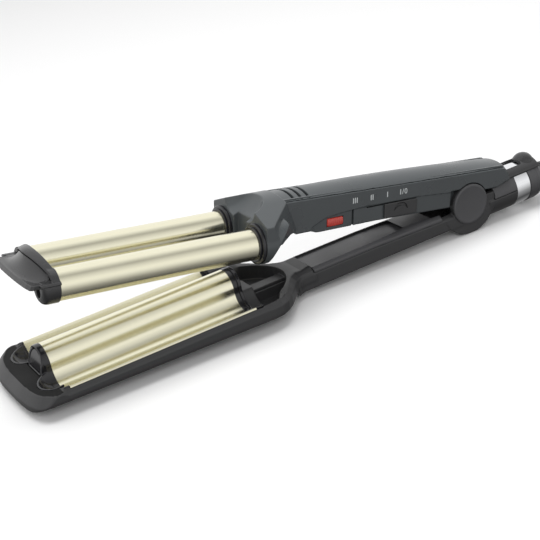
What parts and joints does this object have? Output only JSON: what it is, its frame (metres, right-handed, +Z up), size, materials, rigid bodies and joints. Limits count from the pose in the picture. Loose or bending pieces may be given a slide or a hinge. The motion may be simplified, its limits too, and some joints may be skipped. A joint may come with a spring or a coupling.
{
  "type": "hair_waver",
  "caption": "Hair waver: heated tubes on a spring-opened upper arm close into a wave-shaped plate in a tray-like lower arm, hinged at the rear",
  "frame": {"origin": "centre of the flat resting face under the tray", "axes": "+X towards the rear end, along the table; +Y away from the switch side; +Z up from the table"},
  "size_m": [0.3463, 0.067, 0.0768],
  "materials": {
    "black_plastic": "fine spark-eroded texture",
    "satin_black": "satin moulded",
    "gloss_black": "polished moulded",
    "gold_coat": "pale gold ceramic-metal coating",
    "heater_block": "plain",
    "steel": "zinc plated",
    "brass_parts": "plain",
    "bright_chrome": "polished",
    "red_lens": "clear red moulded",
    "lamp_glass": "clear",
    "ivory_plastic": "moulded",
    "green_board": "laminate"
  },
  "bodies": {
    "lower_arm": {"lower_shell": "black_plastic", "wave_plate": "gold_coat", "plate_front_cap": "gloss_black", "plate_rear_cap": "gloss_black", "plate_heater": "heater_block", "heater_clamp": "steel", "thermal_fuse": "brass_parts", "tray_screws": "steel", "arm_cover": "black_plastic", "barrel_cover": "black_plastic", "barrel_screw": "steel", "bright_band": "bright_chrome", "end_collar": "black_plastic", "hinge_pin": "steel", "hinge_disc_near": "black_plastic", "hinge_disc_far": "black_plastic", "hinge_spring": "steel"},
    "upper_arm": {"upper_shell": "satin_black", "handle_base": "satin_black", "tube_yoke": "satin_black", "tube_near": "gold_coat", "tube_far": "gold_coat", "collar_ring_near": "gloss_black", "collar_ring_far": "gloss_black", "tube_heater_near": "heater_block", "tube_heater_far": "heater_block", "front_cap": "gloss_black", "handle_screws": "steel", "lamp_lens": "red_lens", "lamp_body": "lamp_glass", "switch_body": "ivory_plastic", "circuit_board": "green_board"},
    "switch_button": {"switch_button": "black_plastic"},
    "lock_slide": {"lock_slide": "black_plastic"},
    "cord_swivel": {"cord_swivel": "black_plastic"}
  },
  "joints": [
    {"name": "arm_hinge", "type": "hinge", "parent": "lower_arm", "child": "upper_arm", "pos_m": [0.19665, 0, 0.0181], "axis": [0, -1, 0], "range_deg": [0, 10.07], "stiffness_Nm_per_rad": 1.6, "springref_deg": -17.19},
    {"name": "switch_slide", "type": "slide", "parent": "upper_arm", "child": "switch_button", "axis": [-0.9887, 0, 0.1498], "range_m": [0, 0.0195]},
    {"name": "lock_travel", "type": "slide", "parent": "lower_arm", "child": "lock_slide", "axis": [-0.9997, 0, -0.0254], "range_m": [0, 0.004]},
    {"name": "cord_turn", "type": "hinge", "parent": "lower_arm", "child": "cord_swivel", "pos_m": [0.25435, 0, 0.01516], "axis": [0.9997, 0, 0.0254], "continuous": true}
  ]
}
